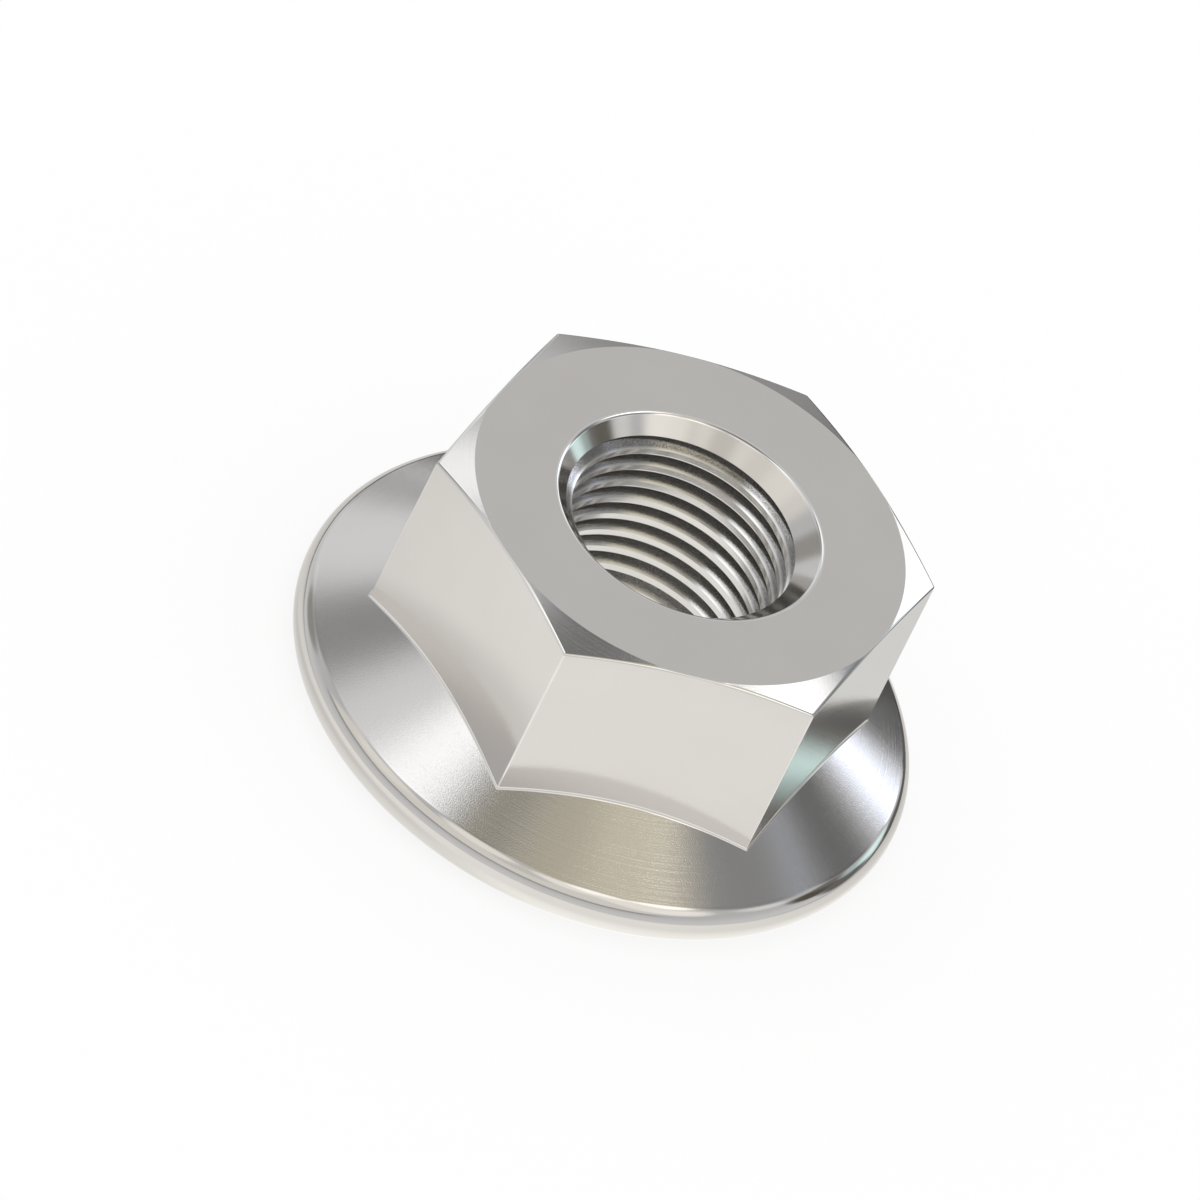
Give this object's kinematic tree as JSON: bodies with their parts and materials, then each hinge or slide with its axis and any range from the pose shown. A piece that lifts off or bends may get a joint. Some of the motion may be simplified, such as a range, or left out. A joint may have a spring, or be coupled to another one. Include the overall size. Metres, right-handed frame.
{
  "type": "serrated flange nut",
  "caption": "Hexagon nut with a round flange; ratchet teeth under the flange grip the surface that it is tightened on.",
  "frame": {"origin": "centre of the bearing face, in the plane of the crests of the serrations", "axes": "+Z along the thread's axis, from the bearing face to the top land; +X through a corner of the hexagon"},
  "size_m": [0.0142, 0.0142, 0.0063],
  "materials": {
    "steel": "stainless steel, turned on the flange's cone and smooth on the flats"
  },
  "bodies": {
    "root": {"flange_nut": "steel"}
  },
  "joints": []
}
